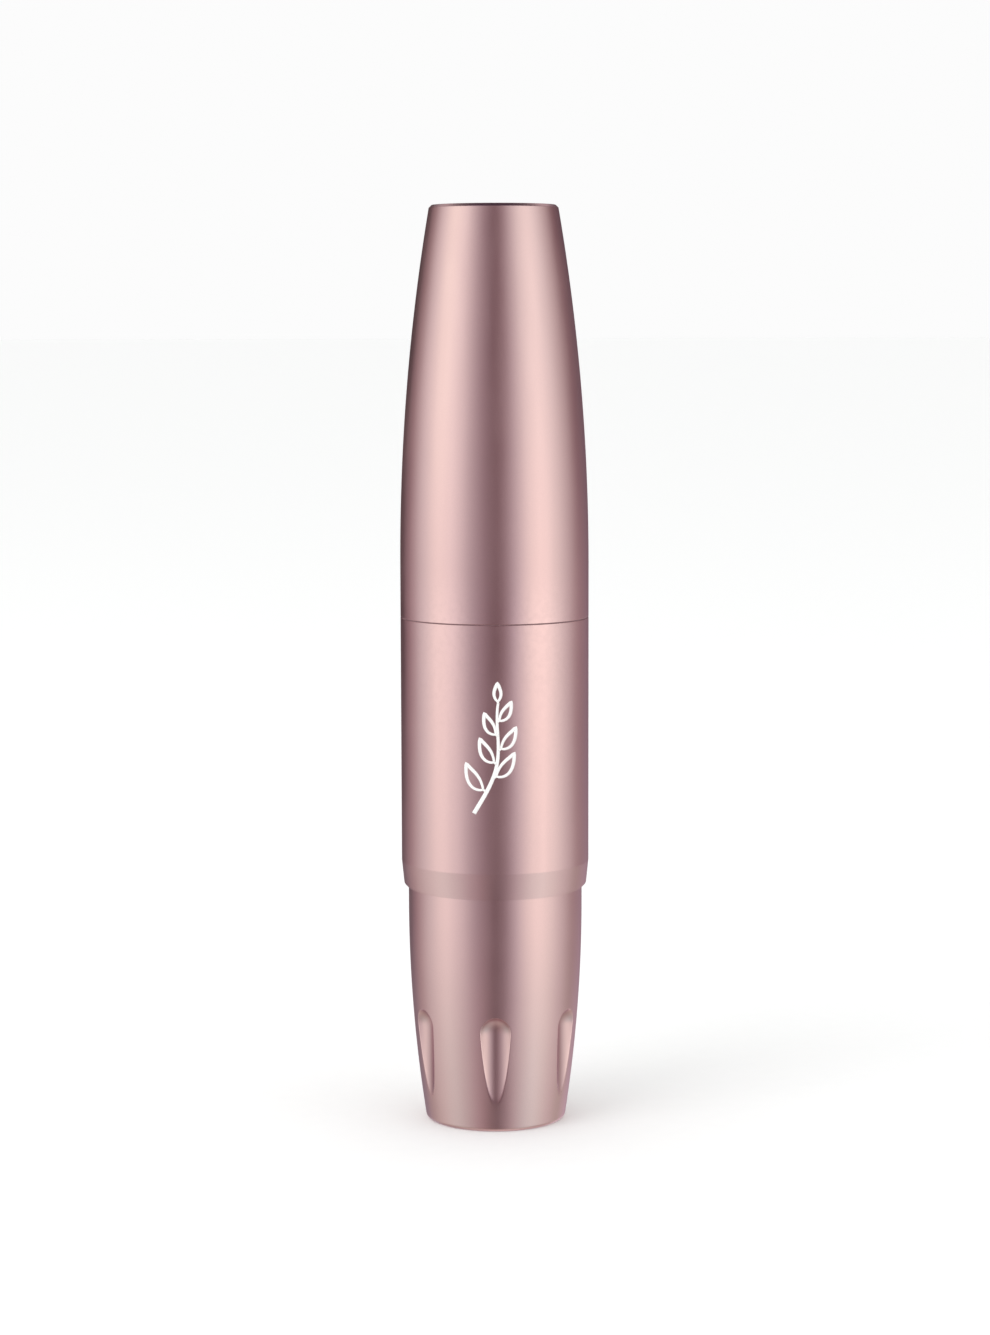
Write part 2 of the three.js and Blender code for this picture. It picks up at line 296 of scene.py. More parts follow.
def spiral_band(inner_r, outer_r, half_height, start_z, pitch, turn_from, turn_to, turned_by):
    """A band of rectangular section that climbs round Z; its ends are turns in degrees."""
    verts, faces = [], []
    section = [
        (inner_r, -half_height),
        (outer_r, -half_height),
        (outer_r, half_height),
        (inner_r, half_height),
    ]
    steps = round((turn_to - turn_from) / SPIRAL_STEP)
    for i in range(steps + 1):
        turn = turn_from + (turn_to - turn_from) * i / steps
        angle = math.radians(turn) + turned_by
        z = start_z + pitch * turn / 360
        verts.extend((r * math.cos(angle), r * math.sin(angle), z + rise) for r, rise in section)
    for i in range(steps):
        a = 4 * i
        faces.extend((a + k, a + 4 + k, a + 4 + (k + 1) % 4, a + (k + 1) % 4) for k in range(4))
    end = 4 * steps
    return verts, faces + [(0, 1, 2, 3), (end + 3, end + 2, end + 1, end)]


# ---------------- materials


class Tree:
    """A node tree, with short calls for the nodes that the materials and the studio are made of."""

    def __init__(self, tree):
        self.tree = tree

    def add(self, kind, inputs=(), **settings):
        """A node with these settings, and with values or links on its inputs."""
        node = self.tree.nodes.new(kind)
        for key, value in settings.items():
            setattr(node, key, value)
        for key, value in dict(inputs).items():
            self.put(node.inputs[key], value)
        return node

    def put(self, socket, value):
        if isinstance(value, bpy.types.NodeSocket):
            self.tree.links.new(value, socket)
        else:
            socket.default_value = value

    def math(self, operation, *values):
        return self.add("ShaderNodeMath", dict(enumerate(values)), operation=operation).outputs[0]

    def mix(self, factor, a, b, blend="MIX"):
        inputs = {"Factor": factor, "A": a, "B": b}
        node = self.add("ShaderNodeMix", inputs, data_type="RGBA", blend_type=blend)
        return node.outputs["Result"]

    def ramp(self, stops, factor):
        """A smooth colour ramp with the stops [(place, colour), ...]."""
        node = self.add("ShaderNodeValToRGB", {"Fac": factor})
        node.color_ramp.interpolation = "EASE"
        while len(node.color_ramp.elements) < len(stops):
            node.color_ramp.elements.new(0.5)
        for element, (place, color) in zip(node.color_ramp.elements, stops):
            element.position = place
            element.color = color
        return node.outputs["Color"]


class Surface(Tree):
    """A material whose patterns lie in its object's own coordinates."""

    def __init__(self, name):
        self.material = bpy.data.materials.new(name)
        self.material.use_nodes = True
        super().__init__(self.material.node_tree)
        self.shader = self.tree.nodes["Principled BSDF"]
        self.coords = self.add("ShaderNodeTexCoord").outputs["Object"]

    def set(self, **values):
        """Sets the shader's sockets, with underscores for the spaces in their names."""
        for key, value in values.items():
            self.put(self.shader.inputs[key.replace("_", " ")], value)

    def mark(self, name):
        """The value of a mark that mesh_piece left on the points."""
        return self.add("ShaderNodeAttribute", attribute_name=name).outputs["Fac"]

    def noise(self, size, detail=2.0, stretch=None, distortion=0.0):
        """Noise whose grains are about this many millimetres across."""
        vector = self.coords
        if stretch:
            vector = self.add("ShaderNodeMapping", {"Vector": vector, "Scale": stretch}).outputs[0]
        values = {"Vector": vector, "Scale": 1 / (size * MM), "Detail": detail}
        values["Distortion"] = distortion
        return self.add("ShaderNodeTexNoise", values).outputs["Fac"]

    def cells(self, size):
        """Distance from the middles of cells about this many millimetres across."""
        values = {"Vector": self.coords, "Scale": 1 / (size * MM)}
        return self.add("ShaderNodeTexVoronoi", values).outputs["Distance"]

    def remap(self, value, old, new, smooth=False):
        names = ("Value", "From Min", "From Max", "To Min", "To Max")
        values = dict(zip(names, (value, *old, *new)))
        kind = "SMOOTHSTEP" if smooth else "LINEAR"
        return self.add("ShaderNodeMapRange", values, interpolation_type=kind).outputs["Result"]

    def tones(self, value, span, color, first, second):
        """A colour that goes from one shade of itself to another while a value crosses a span."""
        return self.mix(self.remap(value, span, (0, 1)), shade(color, first), shade(color, second))

    def bump(self, height, distance, strength=1.0, normal=None):
        values = {"Height": height, "Distance": distance * MM, "Strength": strength}
        if normal:
            values["Normal"] = normal
        return self.add("ShaderNodeBump", values).outputs["Normal"]


def shade(color, factor):
    return (*[min(1.0, c * factor) for c in color], 1.0)


def satin_metal(name, color, roughness):
    """Blasted and anodised aluminium: grain, hazy patches, hairlines, edges rubbed brighter, and
    painted shade in the flutes.
    """
    n = Surface(name)
    patches = n.noise(9.0, 3.0)
    grain = n.noise(0.13, 3.0)
    hair = n.noise(0.9, 2.0, stretch=(1.0, 1.0, 0.03))
    # Painted shade: deeper in a flute the metal is drawn darker, as if shaded, and a little rougher
    pocket = n.mark("pocket")
    uneven = n.remap(n.noise(0.5, 4.0), (0.35, 0.6), (0.25, 1.0), smooth=True)
    rubbed = n.math("MULTIPLY", n.mark("wear"), uneven)
    tone = n.tones(patches, (0.35, 0.65), color, 0.975, 1.02)
    tone = n.mix(n.remap(grain, (0.3, 0.7), (0, 0.5)), tone, shade(color, 0.93))
    tone = n.mix(n.math("MULTIPLY", rubbed, 0.45), tone, shade(color, 1.16))
    # painted shade in the flutes
    tone = n.mix(pocket, tone, shade(color, 0.9))
    rough = n.remap(patches, (0.3, 0.7), (roughness - 0.015, roughness + 0.02))
    rough = n.math("ADD", rough, n.remap(hair, (0.35, 0.65), (-0.012, 0.012)))
    rough = n.math("SUBTRACT", rough, n.math("MULTIPLY", rubbed, 0.08))
    rough = n.math("ADD", rough, n.math("MULTIPLY", pocket, 0.03))
    n.set(Base_Color=tone, Metallic=1.0, Roughness=rough)
    n.set(Specular_Tint=(0.86, 0.72, 0.88, 1.0))
    fine = n.bump(grain, 0.0022, 0.55)
    n.set(Normal=n.bump(n.noise(30.0, 1.0), 0.05, 0.3, fine))
    return n.material


def polished_metal(name, color):
    """Polished and anodised aluminium: faint turning rings, fine rub marks and a few smudges."""
    n = Surface(name)
    rings = n.noise(1.0, 2.0, stretch=(0.05, 0.05, 14.0))
    smudge = n.noise(5.0, 4.0, distortion=0.8)
    rub = n.noise(0.35, 2.0, stretch=(1.0, 1.0, 0.06))
    tone = n.tones(smudge, (0.4, 0.65), color, 0.97, 1.02)
    rough = n.remap(smudge, (0.42, 0.7), (0.13, 0.2), smooth=True)
    rough = n.math("ADD", rough, n.remap(rub, (0.5, 0.75), (0.0, 0.05)))
    n.set(Base_Color=tone, Metallic=1.0, Roughness=rough)
    n.set(Normal=n.bump(rings, 0.003, 0.5))
    return n.material


def plastic(name, color, roughness, grain, flecks=0.04):
    """Moulded plastic: fine texture, slow shrink waves and a little unevenness of colour."""
    n = Surface(name)
    fine = n.noise(grain, 3.0)
    slow = n.noise(4.0, 2.0)
    tone = n.tones(slow, (0.3, 0.7), color, 1 - flecks, 1 + flecks)
    tone = n.mix(n.remap(fine, (0.55, 0.75), (0, 0.5)), tone, shade(color, 1 - 3 * flecks))
    rough = n.remap(fine, (0.3, 0.7), (roughness - 0.05, roughness + 0.05))
    n.set(Base_Color=tone, Roughness=rough)
    n.set(Normal=n.bump(fine, 0.012, 0.35, n.bump(slow, 0.03, 0.25)))
    return n.material


def wax(name, color):
    """Moulded lipstick: soft sheen, pinholes with painted shade in them, slight bloom and fine
    mould lines.
    """
    n = Surface(name)
    slow = n.noise(3.5, 3.0)
    fine = n.noise(0.18, 3.0)
    pinholes_and_shade = n.remap(n.cells(0.9), (0.04, 0.1), (1.0, 0.0), smooth=True)
    mould = n.noise(0.25, 1.0, stretch=(0.2, 0.2, 3.0))
    tone = n.tones(slow, (0.35, 0.68), color, 0.9, 1.08)
    # painted shade: the pinholes are drawn darker, as if shaded inside
    tone = n.mix(n.math("MULTIPLY", pinholes_and_shade, 0.35), tone, shade(color, 0.6))
    rough = n.remap(slow, (0.3, 0.7), (0.26, 0.36))
    rough = n.math("ADD", rough, n.remap(fine, (0.4, 0.7), (0, 0.05)))
    n.set(Base_Color=tone, Roughness=rough)
    n.set(Subsurface_Weight=0.12, Subsurface_Scale=0.0012, Subsurface_Radius=(1.0, 0.35, 0.3))
    n.set(Coat_Weight=0.9, Coat_Roughness=0.16)
    lines = n.bump(mould, 0.006, 0.5, n.bump(slow, 0.05, 0.25))
    n.set(Normal=n.bump(pinholes_and_shade, -0.02, 0.5, lines))
    return n.material


def paper(name, color):
    """Uncoated label stock: fibres, and a faint greyness towards them."""
    n = Surface(name)
    fibre = n.noise(0.25, 4.0, stretch=(1.0, 0.25, 1.0), distortion=1.5)
    tone = n.tones(fibre, (0.35, 0.7), color, 1.0, 0.9)
    n.set(Base_Color=tone, Roughness=n.remap(fibre, (0.3, 0.7), (0.75, 0.92)))
    n.set(Normal=n.bump(fibre, 0.01, 0.5))
    return n.material


def ink(name, color):
    """Screen-printed ink: nearly flat white with a mesh-like unevenness."""
    n = Surface(name)
    fine = n.noise(0.12, 3.0)
    patches = n.noise(1.6, 3.0)
    tone = n.tones(patches, (0.3, 0.7), color, 1.0, 0.94)
    n.set(Base_Color=tone, Roughness=n.remap(fine, (0.3, 0.7), (0.42, 0.6)))
    n.set(Normal=n.bump(fine, 0.006, 0.5))
    return n.material


def turned_steel(name, color):
    """Plain turned steel: rings from the tool, oily patches and specks."""
    n = Surface(name)
    rings = n.noise(0.5, 2.0, stretch=(0.08, 0.08, 5.0))
    patches = n.noise(3.0, 4.0)
    tone = n.tones(patches, (0.35, 0.65), color, 0.8, 1.0)
    rough = n.remap(rings, (0.3, 0.7), (0.3, 0.48))
    n.set(Base_Color=tone, Metallic=1.0, Roughness=rough, Normal=n.bump(rings, 0.01, 0.6))
    return n.material


def foam_rubber(name, color, cell):
    """Soft closed-cell pad or rubber: small cells with painted shade in their hollows, matt and
    slightly dusty.
    """
    n = Surface(name)
    cells = n.cells(cell)
    dust = n.noise(1.2, 4.0)
    tone = n.mix(n.remap(dust, (0.45, 0.75), (0, 0.6)), shade(color, 1.0), shade(color, 1.7))
    # painted shade: the middles of the cells are drawn darker, as if shaded in their hollows
    tone = n.mix(n.remap(cells, (0.1, 0.6), (0.5, 0)), tone, shade(color, 0.5))
    n.set(Base_Color=tone, Roughness=n.remap(dust, (0.3, 0.7), (0.7, 0.9)))
    n.set(Normal=n.bump(cells, 0.03, 0.5))
    return n.material


rose = satin_metal("rose_aluminium", (0.72, 0.50, 0.48), 0.34)
polished = polished_metal("polished_rose", (0.80, 0.54, 0.48))
acetal = plastic("white_acetal", (0.80, 0.78, 0.73), 0.42, 0.15, 0.02)
mauve = plastic("mauve_plastic", (0.26, 0.14, 0.15), 0.5, 0.2)
silicone = foam_rubber("dark_silicone", (0.045, 0.025, 0.032), 0.12)
foam = foam_rubber("foam_pad", (0.04, 0.04, 0.043), 0.35)
steel = turned_steel("weight_steel", (0.46, 0.47, 0.48))
label = paper("label_paper", (0.86, 0.81, 0.77))
white_ink = ink("white_ink", (0.93, 0.92, 0.90))
lipstick_wax = wax("lipstick_wax", (0.33, 0.025, 0.05))

finish = {
    "rose_aluminium": rose,
    "polished_rose": polished,
    "white_acetal": acetal,
    "mauve_plastic": mauve,
    "dark_silicone": silicone,
    "foam_pad": foam,
    "weight_steel": steel,
    "label_paper": label,
    "lipstick_wax": lipstick_wax,
}
slot_of = {s["node"]: s["material_slot"] for s in frame["record"]["subparts"]}
for node, made in frame["nodes"].items():
    for material_slot in made.material_slots:
        material_slot.material = finish[slot_of[node]]

# ---------------- base with its six flutes


def flute_radius(offset, z):
    """Radius of the flute's surface at an angle from its middle, endless beyond the tool."""
    over_head = max(0.0, z - FLUTE_HEAD_Z)
    reach = FLUTE_TOOL_R**2 - (FLUTE_AXIS_R * math.sin(offset)) ** 2 - over_head**2
    return FLUTE_AXIS_R * math.cos(offset) - math.sqrt(reach) if reach > 0 else math.inf


def fluted_radius(offset, z):
    """Radius of the base at an angle from a flute's middle, with the flute's edge softened."""
    plain, cut = base_radius(z), flute_radius(offset, z)
    blend = max(EDGE_BREAK - abs(plain - cut), 0.0) / EDGE_BREAK
    return min(plain, cut) - blend * blend * EDGE_BREAK / 4


def flute_edge(z):
    """Angle from the flute's middle to its edge at a height."""
    plain = base_radius(z)
    over_head = max(0.0, z - FLUTE_HEAD_Z)
    square = plain**2 + FLUTE_AXIS_R**2 - FLUTE_TOOL_R**2 + over_head**2
    return math.acos(min(1.0, square / (2 * FLUTE_AXIS_R * plain)))


def solve(function, a, b):
    """Where a function that is zero or less at a and positive at b leaves zero."""
    for _ in range(60):
        middle = (a + b) / 2
        if function(middle) > 0:
            b = middle
        else:
            a = middle
    return (a + b) / 2


def evenly_spaced(points, count):
    """The same polyline, walked in equal steps."""
    lengths = [0.0]
    for a, b in zip(points, points[1:]):
        lengths.append(lengths[-1] + math.dist(a, b))
    out = []
    k = 0
    for i in range(count + 1):
        want = lengths[-1] * i / count
        while k < len(points) - 2 and lengths[k + 1] < want:
            k += 1
        t = (want - lengths[k]) / (lengths[k + 1] - lengths[k])
        out.append(tuple(p + (q - p) * min(1.0, t) for p, q in zip(points[k], points[k + 1])))
    return out


PATCH_LOW = 1.3
PATCH_HIGH = 13.3
PATCH_SCALE = 7.9  # millimetres to the radian, so that steps are even both ways
STEPS_LOW, STEPS_SIDE, STEPS_HIGH = 9, 34, 12  # along half the bottom, the side and half the top
EDGE_SAMPLES = 400
SPINE_START = 0.25  # from the flute's tail to the line down its middle
SPINE_SHORTER = 1.5  # by how much that line is shorter than the flute
OUTWARD = [0.006, 0.014, 0.024, 0.04, 0.065, 0.1, 0.15, 0.22, 0.31, 0.42, 0.55, 0.7, 0.85, 1.0]
INWARD = [0.015, 0.035, 0.06, 0.1, 0.16, 0.24, 0.34, 0.46, 0.6, 0.75, 0.88]


def flute_patch():
    """Points (angle, z) and faces of one sixth of the base round a flute.

    Rings of points follow the flute's edge, so that the edge is a clean line of the mesh. They
    open out to a rectangle outside it, and close on a line down the flute's middle inside it.
    OUTWARD and INWARD say how far on its way each ring is.
    """
    tail = solve(flute_edge, FLUTE_HEAD_Z - 9, FLUTE_HEAD_Z)
    head = solve(lambda z: -1 if flute_edge(z) > 0 else 1, FLUTE_HEAD_Z, FLUTE_HEAD_Z + 3)
    length = head - tail
    steps = STEPS_LOW + STEPS_SIDE + STEPS_HIGH
    levels = [
        tail + length * (1 - math.cos(math.pi * i / EDGE_SAMPLES)) / 2
        for i in range(1, EDGE_SAMPLES)
    ]
    side = [(flute_edge(z) * PATCH_SCALE, z) for z in levels]
    side = evenly_spaced([(0.0, tail), *side, (0.0, head)], steps)
    width, height = math.pi / FLUTES * PATCH_SCALE, PATCH_HIGH - PATCH_LOW
    edge = [(width * i / STEPS_LOW, PATCH_LOW) for i in range(STEPS_LOW)]
    edge += [(width, PATCH_LOW + height * i / STEPS_SIDE) for i in range(STEPS_SIDE)]
    edge += [(width * (1 - i / STEPS_HIGH), PATCH_HIGH) for i in range(STEPS_HIGH + 1)]
    spine = [
        (0.0, tail + SPINE_START + (z - tail) * (length - SPINE_SHORTER) / length) for _, z in side
    ]
    verts, faces = [], []

    def blend_ring(target, t):
        right = [tuple(a + (b - a) * t for a, b in zip(p, q)) for p, q in zip(side, target)]
        left = [(-s, z) for s, z in right[-2:0:-1]]
        verts.extend(right + left)
        return list(range(len(verts) - len(right) - len(left), len(verts)))

    rings = [blend_ring(spine, t) for t in reversed(INWARD)]
    rings += [blend_ring(edge, t) for t in [0.0] + OUTWARD]
    middle = list(range(len(verts), len(verts) + len(spine)))
    middle += middle[-2:0:-1]
    verts.extend(spine)
    ring_faces(faces, middle, rings[0])
    for a, b in zip(rings, rings[1:]):
        ring_faces(faces, a, b)
    faces = [f for f in (tuple(dict.fromkeys(f)) for f in faces) if len(f) > 2]
    return [(s / PATCH_SCALE, z) for s, z in verts], [tuple(reversed(f)) for f in faces]


RECESS_R = 5.7  # recess for the label
RECESS_DEPTH = 0.35
FOOT_RING_Z = 0.9  # a ring of points between the flutes and the foot's corner
BASE_BORE_R = 7.2  # holds the socket
BASE_BORE_LOW = 12.5
POCKET_R = 6.4  # holds the weight
POCKET_LOW = 1.6
EDGE_WEAR = 0.12  # how far wear reaches from the flutes' edges, in depth
FOOT_WEAR = 0.35  # how far it reaches from the foot's corner, where it is half as strong
FULL_FLUTE_SHADE = 0.3  # depth from which a flute gets its full painted shade


def base_shell():
    """The base: six patches with a flute each, the foot below them, the neck and bore above."""
    patch, patch_faces = flute_patch()
    verts, faces, numbers = [], [], {}

    def point(angle, radius, z):
        """The number of a point, shared with any other made at the same place."""
        x, y = radius * math.cos(angle), radius * math.sin(angle)
        key = (round(x, 5), round(y, 5), round(z, 5))
        if key not in numbers:
            numbers[key] = len(verts)
            verts.append((x, y, z))
        return numbers[key]

    for k in range(FLUTES):
        middle = -math.pi / 2 + math.tau * k / FLUTES
        made = [point(middle + offset, fluted_radius(offset, z), z) for offset, z in patch]
        faces.extend(tuple(made[i] for i in f) for f in patch_faces)

    def angle_at(number):
        return math.atan2(verts[number][1], verts[number][0])

    def border(height):
        """The patches' points at this height in turn, and their angles."""
        ring = [i for i, v in enumerate(verts) if abs(v[2] - height) < TINY]
        ring.sort(key=angle_at)
        return ring, [angle_at(i) for i in ring]

    low_ring, low_angles = border(PATCH_LOW)
    high_ring, high_angles = border(PATCH_HIGH)
    foot = rounded(
        [
            (base_radius(PATCH_LOW), PATCH_LOW),
            (base_radius(FOOT_RING_Z), FOOT_RING_Z),
            (base_radius(0.0), 0.0, FOOT_CORNER_R),
            (RECESS_R, 0.0, 0.08),
            (RECESS_R, RECESS_DEPTH, 0.05),
            (0.0, RECESS_DEPTH),
        ],
        steps=8,
    )
    bore = rounded(
        [
            *curve(base_radius, PATCH_HIGH, BASE_ARC_Z, 12),
            (NECK_R, BASE_TOP, 0.2),
            (BASE_BORE_R, BASE_TOP, 0.1),
            (BASE_BORE_R, BASE_BORE_LOW),
            (POCKET_R, BASE_BORE_LOW),
            (POCKET_R, POCKET_LOW),
            (0.0, POCKET_LOW),
        ]
    )
    foot_faces = []
    turn_outline(verts, foot_faces, foot[1:], low_angles, low_ring)
    faces.extend(tuple(reversed(f)) for f in foot_faces)
    turn_outline(verts, faces, bore[1:], high_angles, high_ring)
    half = math.pi / FLUTES
    foot_edge = (base_radius(FOOT_CORNER_R) - 0.15, 0.15)  # middle of the foot's rounded corner
    wear, pocket = [], []
    for x, y, z in verts:
        offset = (math.atan2(y, x) + math.pi / 2 + half) % (2 * half) - half
        depth = base_radius(z) - flute_radius(offset, z)
        at_edge = max(0.0, 1 - abs(depth) / EDGE_WEAR)
        at_foot = 0.5 * nearness((x, y, z), *foot_edge, FOOT_WEAR)
        wear.append(max(at_edge, at_foot))
        # painted shade: how deep each point lies in a flute, by which the material draws the flutes
        # darker
        pocket.append(min(1.0, max(0.0, depth / FULL_FLUTE_SHADE)) if z > PATCH_LOW else 0.0)
    mesh_piece("fluted_base", verts, faces, "base", ["base_shell"], rose, wear=wear, pocket=pocket)


base_shell()

LABEL_R = 5.5
LABEL_LOW = 0.15
LABEL_HIGH = 0.33
turned(
    "blank_label",
    [
        (0.0, LABEL_LOW),
        (LABEL_R, LABEL_LOW, 0.03),
        (LABEL_R, LABEL_HIGH, 0.03),
        (0.0, LABEL_HIGH),
    ],
    "base",
    ["shade_label"],
    label,
)

# ---------------- sleeve, seam and collar

LIP_R = 9.065  # widest part of the sleeve's lower lip, which is bevelled below it
LIP_Z = SLEEVE_BOTTOM + 0.42
TAPER_TOP_Z = SLEEVE_BOTTOM + 2.7
BORE_EDGE_R = 8.66
FLANGE_BORE_R = 8.12  # the sleeve's upper end reaches in over its lining
FLANGE = 0.75


def shade_lip(mesh):
    """Shades the lip's bevel like the taper above it, so that no line shows along the step."""
    slope = math.atan2(BODY_R - LIP_R, TAPER_TOP_Z - LIP_Z)
    normals = []
    for vertex in mesh.vertices:
        x, y, z = vertex.co / MM
        r = math.hypot(x, y)
        if r > BORE_EDGE_R + 0.02 and z < LIP_Z + 0.1:
            normals.append((x / r * math.cos(slope), y / r * math.cos(slope), -math.sin(slope)))
        else:
            normals.append(tuple(vertex.normal))
    mesh.normals_split_custom_set_from_vertices(normals)


def sleeve_shell():
    outline = [
        (SLEEVE_BORE_R, SLEEVE_BOTTOM + 0.5),
        (BORE_EDGE_R, SLEEVE_BOTTOM + 0.3),
        (BORE_EDGE_R, SLEEVE_BOTTOM, 0.03),
        (LIP_R, LIP_Z, 0.25),
        (BODY_R, TAPER_TOP_Z, 0.9),
        (BODY_R, TAPER_TOP_Z + 0.8),
        (BODY_R, SLEEVE_TOP, 0.03),
        (FLANGE_BORE_R, SLEEVE_TOP),
        (FLANGE_BORE_R, SLEEVE_TOP - FLANGE),
        (SLEEVE_BORE_R, SLEEVE_TOP - FLANGE),
    ]
    piece = turned(
        "sleeve",
        outline,
        "sleeve",
        ["sleeve_shell"],
        rose,
        segments=192,
        worn_edge=(BODY_R, SLEEVE_TOP, 0.1),
    )
    shade_lip(piece.data)


sleeve_shell()

WASHER_BORE_R = 8.16
WASHER_R = outer_radius("seat_washer")
WASHER_LOW, WASHER_HIGH = heights("seat_washer")
turned(
    "seam_washer",
    [
        (WASHER_BORE_R, WASHER_LOW),
        (WASHER_R, WASHER_LOW, 0.01),
        (WASHER_R, WASHER_HIGH, 0.01),
        (WASHER_BORE_R, WASHER_HIGH),
    ],
    "sleeve",
    ["seat_washer"],
    mauve,
)

COLLAR_BORE_R = 7.76
COLLAR_R = 8.06
BEAD_R = 8.1  # fine raised bead round the collar
BEAD_Z = 54.0
COLLAR_MOUTH_R = 6.62  # the collar's upper end reaches in over the tubes
COLLAR_END = 0.75
turned(
    "polished_collar",
    [
        (COLLAR_BORE_R, COLLAR_BOTTOM),
        (COLLAR_R, COLLAR_BOTTOM, 0.04),
        (COLLAR_R, BEAD_Z - 0.4, 0.3),
        (BEAD_R, BEAD_Z - 0.2, 0.3),
        (BEAD_R, BEAD_Z + 0.2, 0.3),
        (COLLAR_R, BEAD_Z + 0.4, 0.3),
        (COLLAR_R, COLLAR_TOP, 0.45),
        (COLLAR_MOUTH_R, COLLAR_TOP, 0.12),
        (COLLAR_MOUTH_R, COLLAR_TOP - COLLAR_END),
        (COLLAR_BORE_R, COLLAR_TOP - COLLAR_END),
    ],
    "sleeve",
    ["collar"],
    polished,
    segments=192,
    steps=6,
)

# ---------------- cap

CAP_SHOULDER = HEIGHT - CAP_CHAMFER
CAP_CEILING = HEIGHT - 1.3
END_RING_R = 3.0  # a ring of points that keeps the faces of the flat ends from being slivers
turned(
    "cap",
    [
        (BODY_R - CAP_WALL, CAP_BOTTOM),
        (BODY_R, CAP_BOTTOM, 0.03),
        *curve(cap_radius, CAP_ARC_Z, CAP_SHOULDER - 0.12, 56),
        (cap_radius(CAP_SHOULDER), CAP_SHOULDER, 0.12),
        (cap_radius(CAP_SHOULDER) - CAP_CHAMFER, HEIGHT, 0.12),
        (END_RING_R, HEIGHT),
        (0.0, HEIGHT),
        (0.0, CAP_CEILING),
        (END_RING_R, CAP_CEILING),
        *[(r - CAP_WALL, z) for r, z in curve(cap_radius, CAP_CEILING, CAP_ARC_Z, 24)],
    ],
    "cap",
    ["cap_shell"],
    rose,
    segments=192,
    worn_edge=(BODY_R, CAP_BOTTOM, 0.1),
)

LINER_LOW, LINER_HIGH = heights("cap_liner")
LINER_CEILING = LINER_HIGH - 0.7
LINER_BORE_R = 8.15
LINER_MOUTH_R = 8.3
LINER_WALL = 0.4
LINER_GAP = 0.05  # between the cap and its lining


def liner_outer(z):
    return cap_radius(z) - CAP_WALL - LINER_GAP


def liner_bore(z):
    return min(LINER_BORE_R, liner_outer(z) - LINER_WALL)


turned(
    "cap_lining",
    [
        (0.0, LINER_CEILING),
        (liner_bore(LINER_CEILING) - 0.02, LINER_CEILING, 0.3),
        *curve(liner_bore, LINER_HIGH - 1.5, 60.0, 24),
        (LINER_BORE_R, LINER_LOW + 0.3),
        (LINER_MOUTH_R, LINER_LOW),
        (liner_outer(LINER_LOW), LINER_LOW, 0.05),
        *curve(liner_outer, CAP_ARC_Z, LINER_HIGH, 24),
        (0.0, LINER_HIGH),
    ],
    "cap",
    ["cap_liner"],
    mauve,
)

# ---------------- lipstick and cup

LIPSTICK_R = 6.02
NOSE_Z = 54.5  # where the stick starts to narrow
NOSE_REACH = 8.2
FLAT_Z = 57.5  # height of the slanting flat on the axis
SLANT = math.radians(49)
FACING = math.radians(-60)
FLAT_EDGE = 0.16


def nose_radius(z):
    return LIPSTICK_R * math.sqrt(1 - ((z - NOSE_Z) / NOSE_REACH) ** 2)


def lipstick():
    """The moulded stick: turned, cut across by a slanting flat, and the cut's edge softened."""
    bottom, top = heights("lipstick")
    outline = [
        (0.0, bottom),
        (LIPSTICK_R, bottom, 0.2),
        *curve(lambda z: LIPSTICK_R, bottom + 1, NOSE_Z - 0.5, 40),
        *curve(nose_radius, NOSE_Z, top, 28),
        (0.0, top),
    ]
    piece = turned("lipstick_stick", outline, "stick", ["lipstick"], lipstick_wax, segments=144)
    bm = bmesh.new()
    bm.from_mesh(piece.data)
    sideways = math.sin(SLANT)
    cut = bmesh.ops.bisect_plane(
        bm,
        geom=bm.verts[:] + bm.edges[:] + bm.faces[:],
        plane_co=Vector((0, 0, FLAT_Z * MM)),
        plane_no=(sideways * math.cos(FACING), sideways * math.sin(FACING), math.cos(SLANT)),
        clear_outer=True,
    )
    rim = [e for e in cut["geom_cut"] if isinstance(e, bmesh.types.BMEdge)]
    face = bmesh.ops.contextual_create(bm, geom=rim)["faces"][0]
    bmesh.ops.bevel(
        bm,
        geom=list(face.edges),
        offset=FLAT_EDGE * MM,
        offset_type="OFFSET",
        segments=4,
        profile=0.5,
        affect="EDGES",
        clamp_overlap=True,
    )
    flat = max(bm.faces, key=lambda f: f.calc_area())
    bmesh.ops.inset_region(bm, faces=[flat], thickness=0.1 * MM)
    for f in bm.faces:
        f.smooth = True
    bm.to_mesh(piece.data)
    bm.free()
    piece.data.update()


lipstick()

CUP_BORE_R = 6.08
CUP_LOW = 33.0
CUP_FLOOR = 33.4
CUP_HIGH = 41.0
turned(
    "lipstick_cup",
    [
        (0.0, CUP_LOW),
        (CARRIER_R, CUP_LOW, 0.15),
        (CARRIER_R, CUP_HIGH, 0.12),
        (CUP_BORE_R, CUP_HIGH, 0.1),
        (CUP_BORE_R, CUP_FLOOR),
        (0.0, CUP_FLOOR),
    ],
    "stick",
    ["cup"],
    polished,
)

# ---------------- swivel mechanism and weights inside

LUG_R = 1.0
LUG_Z = 31.6
LUG_REACH = 7.34  # from the axis to a lug's end
LIFT = 24.0  # how far the carrier climbs
SLOT_HALF_WIDTH = 1.2  # of the straight slots and the spiral grooves that the lugs run in

